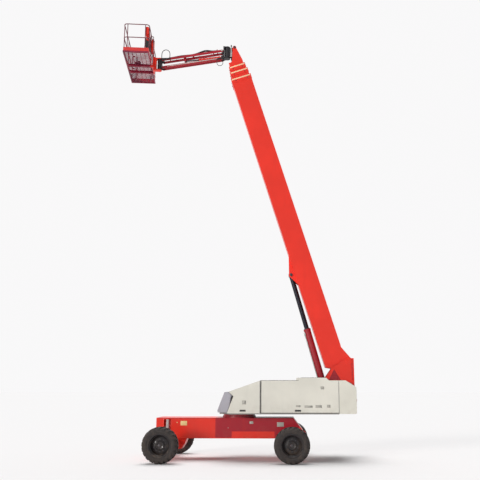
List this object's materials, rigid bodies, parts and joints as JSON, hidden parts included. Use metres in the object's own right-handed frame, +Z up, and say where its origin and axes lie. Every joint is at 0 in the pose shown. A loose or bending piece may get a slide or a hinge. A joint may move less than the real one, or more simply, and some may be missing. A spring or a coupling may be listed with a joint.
{
  "type": "telescopic boom lift",
  "caption": "Self-propelled telescopic boom lift on rough-terrain tyres, with a tall boom of nested box sections, a small parallelogram jib and a railed work platform.",
  "frame": {"origin": "on the ground under the centre of the slewing ring", "axes": "+X the way the boom points (forward), +Y the machine's left, +Z up"},
  "size_m": [8.498, 3.8472, 15.5479],
  "materials": {
    "red_paint": "gloss",
    "dark_red_paint": "gloss",
    "ivory_paint": "satin",
    "grey_plastic": "moulded",
    "black_paint": "satin",
    "tyre_rubber": "treaded",
    "rod_steel": "dark",
    "grey_steel": "satin",
    "hose_rubber": "smooth",
    "woven_sleeve": "woven",
    "black_plastic": "moulded"
  },
  "bodies": {
    "chassis": {"chassis_frame": "red_paint", "front_axle": "red_paint", "rear_axle": "red_paint", "oscillation_cylinders": "grey_steel", "slewing_ring": "dark_red_paint", "front_steering_cylinder": "black_paint", "rear_steering_cylinder": "black_paint"},
    "turntable": {"turntable_deck": "ivory_paint", "channel_walls": "ivory_paint", "nose_caps": "grey_plastic", "counterweight": "ivory_paint", "engine_block": "grey_steel", "hydraulic_tank": "black_paint", "boom_tower": "red_paint"},
    "lift_cylinder": {"lift_cylinder": "dark_red_paint"},
    "lift_rod": {"lift_rod": "rod_steel"},
    "boom_base": {"boom_base": "red_paint"},
    "boom_section_two": {"boom_section_two": "red_paint"},
    "boom_section_three": {"boom_section_three": "red_paint"},
    "boom_tip": {"boom_tip": "red_paint"},
    "level_cylinder": {"level_cylinder": "black_paint"},
    "level_rod": {"level_rod": "rod_steel"},
    "level_bracket": {"level_bracket": "black_paint"},
    "jib_base": {"jib_base": "black_paint", "nose_hose": "hose_rubber"},
    "jib_upper_arm": {"jib_upper_arm": "red_paint", "jib_hose_sleeve": "woven_sleeve"},
    "jib_lower_arm": {"jib_lower_arm": "red_paint"},
    "jib_cylinder": {"jib_cylinder": "black_paint"},
    "jib_rod": {"jib_rod": "rod_steel"},
    "jib_head": {"jib_head": "black_paint", "head_hose": "hose_rubber"},
    "platform": {"platform_mount": "dark_red_paint", "platform_floor": "dark_red_paint", "platform_rails": "dark_red_paint", "rear_guard": "dark_red_paint", "control_console": "black_plastic", "equipment_boxes": "dark_red_paint"},
    "platform_gate": {"platform_gate": "dark_red_paint"},
    "front_left_knuckle": {"front_left_knuckle": "black_paint"},
    "front_left_wheel": {"front_left_wheel": "black_paint", "front_left_tyre": "tyre_rubber"},
    "front_right_knuckle": {"front_right_knuckle": "black_paint"},
    "front_right_wheel": {"front_right_wheel": "black_paint", "front_right_tyre": "tyre_rubber"},
    "front_tie_rod": {"front_tie_rod": "rod_steel"},
    "rear_left_knuckle": {"rear_left_knuckle": "black_paint"},
    "rear_left_wheel": {"rear_left_wheel": "black_paint", "rear_left_tyre": "tyre_rubber"},
    "rear_right_knuckle": {"rear_right_knuckle": "black_paint"},
    "rear_right_wheel": {"rear_right_wheel": "black_paint", "rear_right_tyre": "tyre_rubber"},
    "rear_tie_rod": {"rear_tie_rod": "rod_steel"},
    "left_main_door": {"left_main_door": "ivory_paint"},
    "left_nose_door": {"left_nose_door": "ivory_paint"},
    "right_main_door": {"right_main_door": "ivory_paint"},
    "right_nose_door": {"right_nose_door": "ivory_paint"}
  },
  "joints": [
    {"name": "front_left_steer", "type": "hinge", "parent": "chassis", "child": "front_left_knuckle", "pos_m": [2.4, 1.36, 0.579], "axis": [0, 0, 1], "range_deg": [-25, 25]},
    {"name": "front_left_spin", "type": "hinge", "parent": "front_left_knuckle", "child": "front_left_wheel", "pos_m": [2.4, 1.7, 0.579], "axis": [0, 1, 0], "continuous": true},
    {"name": "front_right_steer", "type": "hinge", "parent": "chassis", "child": "front_right_knuckle", "pos_m": [2.4, -1.36, 0.579], "axis": [0, 0, 1], "range_deg": [-25, 25]},
    {"name": "front_right_spin", "type": "hinge", "parent": "front_right_knuckle", "child": "front_right_wheel", "pos_m": [2.4, -1.7, 0.579], "axis": [0, 1, 0], "continuous": true},
    {"name": "front_tie_slide", "type": "slide", "parent": "chassis", "child": "front_tie_rod", "axis": [0, 1, 0], "range_m": [-0.15, 0.15]},
    {"name": "rear_left_steer", "type": "hinge", "parent": "chassis", "child": "rear_left_knuckle", "pos_m": [-1.82, 1.36, 0.579], "axis": [0, 0, 1], "range_deg": [-25, 25]},
    {"name": "rear_left_spin", "type": "hinge", "parent": "rear_left_knuckle", "child": "rear_left_wheel", "pos_m": [-1.82, 1.7, 0.579], "axis": [0, 1, 0], "continuous": true},
    {"name": "rear_right_steer", "type": "hinge", "parent": "chassis", "child": "rear_right_knuckle", "pos_m": [-1.82, -1.36, 0.579], "axis": [0, 0, 1], "range_deg": [-25, 25]},
    {"name": "rear_right_spin", "type": "hinge", "parent": "rear_right_knuckle", "child": "rear_right_wheel", "pos_m": [-1.82, -1.7, 0.579], "axis": [0, 1, 0], "continuous": true},
    {"name": "rear_tie_slide", "type": "slide", "parent": "chassis", "child": "rear_tie_rod", "axis": [0, 1, 0], "range_m": [-0.15, 0.15]},
    {"name": "slew", "type": "hinge", "parent": "chassis", "child": "turntable", "pos_m": [0, 0, 1.5], "axis": [0, 0, 1], "continuous": true},
    {"name": "boom_lift", "type": "hinge", "parent": "turntable", "child": "boom_base", "pos_m": [-3.8, 0, 3.28], "axis": [0, -1, 0], "range_deg": [-72.5, 2.5]},
    {"name": "lift_cylinder_foot", "type": "hinge", "parent": "turntable", "child": "lift_cylinder", "pos_m": [-3.03, 0, 2.12], "axis": [0, -1, 0], "range_deg": [-70.97, 3.41]},
    {"name": "lift_rod_slide", "type": "slide", "parent": "lift_cylinder", "child": "lift_rod", "axis": [0.274, 0, 0.9617], "range_m": [-1.6493, 0.0665]},
    {"name": "boom_extend", "type": "slide", "parent": "boom_base", "child": "boom_section_two", "axis": [0.3007, 0, 0.9537], "range_m": [0, 8]},
    {"name": "section_three_slide", "type": "slide", "parent": "boom_section_two", "child": "boom_section_three", "axis": [0.3007, 0, 0.9537], "range_m": [0, 8.01]},
    {"name": "tip_slide", "type": "slide", "parent": "boom_section_three", "child": "boom_tip", "axis": [0.3007, 0, 0.9537], "range_m": [0, 8.01]},
    {"name": "platform_level", "type": "hinge", "parent": "boom_tip", "child": "level_bracket", "pos_m": [0.30061, 0, 15.18806], "axis": [0, -1, 0], "range_deg": [-3, 73]},
    {"name": "level_cylinder_foot", "type": "hinge", "parent": "boom_tip", "child": "level_cylinder", "pos_m": [0.09786, 0, 14.04618], "axis": [0, -1, 0], "range_deg": [-7.2, 0.73]},
    {"name": "level_rod_slide", "type": "slide", "parent": "level_cylinder", "child": "level_rod", "axis": [0.3968, 0, 0.9179], "range_m": [-0.0226, 0.5153]},
    {"name": "jib_swing", "type": "hinge", "parent": "level_bracket", "child": "jib_base", "pos_m": [0.582, 0, 15.08], "axis": [0, 0, 1], "range_deg": [-75, 75]},
    {"name": "jib_lift", "type": "hinge", "parent": "jib_base", "child": "jib_upper_arm", "pos_m": [0.78, 0, 15.08], "axis": [0, -1, 0], "range_deg": [-51.5, 78.5]},
    {"name": "jib_lower_pivot", "type": "hinge", "parent": "jib_base", "child": "jib_lower_arm", "pos_m": [0.78, 0, 14.79], "axis": [0, -1, 0], "range_deg": [-51.7, 78.7]},
    {"name": "jib_head_level", "type": "hinge", "parent": "jib_upper_arm", "child": "jib_head", "pos_m": [3.03496, 0, 14.743], "axis": [0, -1, 0], "range_deg": [-78.7, 51.7]},
    {"name": "jib_cylinder_foot", "type": "hinge", "parent": "jib_base", "child": "jib_cylinder", "pos_m": [0.78, 0, 14.88], "axis": [0, -1, 0], "range_deg": [-51.72, 78.57]},
    {"name": "jib_rod_slide", "type": "slide", "parent": "jib_cylinder", "child": "jib_rod", "axis": [0.9942, 0, -0.1075], "range_m": [-0.1484, 0.2236]},
    {"name": "platform_rotate", "type": "hinge", "parent": "jib_head", "child": "platform", "pos_m": [3.19, 0, 14.42], "axis": [0, 0, 1], "range_deg": [-91, 79]},
    {"name": "gate_hinge", "type": "hinge", "parent": "platform", "child": "platform_gate", "pos_m": [4.37172, -1.10252, 14.42], "axis": [0, 0, -1], "range_deg": [0, 85]},
    {"name": "left_main_door_hinge", "type": "hinge", "parent": "turntable", "child": "left_main_door", "pos_m": [-0.784, 0.444, 2.612], "axis": [1, 0, 0], "range_deg": [0, 70]},
    {"name": "left_nose_door_hinge", "type": "hinge", "parent": "turntable", "child": "left_nose_door", "pos_m": [-0.78991, 0.444, 2.613], "axis": [0.9446, 0, -0.3282], "range_deg": [0, 70]},
    {"name": "right_main_door_hinge", "type": "hinge", "parent": "turntable", "child": "right_main_door", "pos_m": [-0.784, -0.444, 2.612], "axis": [-1, 0, 0], "range_deg": [0, 70]},
    {"name": "right_nose_door_hinge", "type": "hinge", "parent": "turntable", "child": "right_nose_door", "pos_m": [-0.78991, -0.444, 2.613], "axis": [-0.9446, 0, 0.3282], "range_deg": [0, 70]}
  ],
  "couplings": [
    {"joint": "front_right_steer", "follows": "front_left_steer", "ratio": 1},
    {"joint": "rear_left_steer", "follows": "front_left_steer", "ratio": -1},
    {"joint": "rear_right_steer", "follows": "front_left_steer", "ratio": -1},
    {"joint": "front_tie_slide", "follows": "front_left_steer", "m_per_rad": 0.3201},
    {"joint": "rear_tie_slide", "follows": "front_left_steer", "m_per_rad": 0.3201},
    {"joint": "lift_cylinder_foot", "follows": "boom_lift", "ratio": 0.96508},
    {"joint": "lift_rod_slide", "follows": "boom_lift", "m_per_rad": 1.2955},
    {"joint": "section_three_slide", "follows": "boom_extend", "ratio": 1},
    {"joint": "tip_slide", "follows": "boom_extend", "ratio": 1},
    {"joint": "platform_level", "follows": "boom_lift", "ratio": -1},
    {"joint": "level_cylinder_foot", "follows": "boom_lift", "ratio": 0.09238},
    {"joint": "level_rod_slide", "follows": "boom_lift", "m_per_rad": -0.40328},
    {"joint": "jib_lower_pivot", "follows": "jib_lift", "ratio": 1},
    {"joint": "jib_head_level", "follows": "jib_lift", "ratio": -1},
    {"joint": "jib_cylinder_foot", "follows": "jib_lift", "ratio": 0.99455},
    {"joint": "jib_rod_slide", "follows": "jib_lift", "m_per_rad": 0.15958}
  ]
}
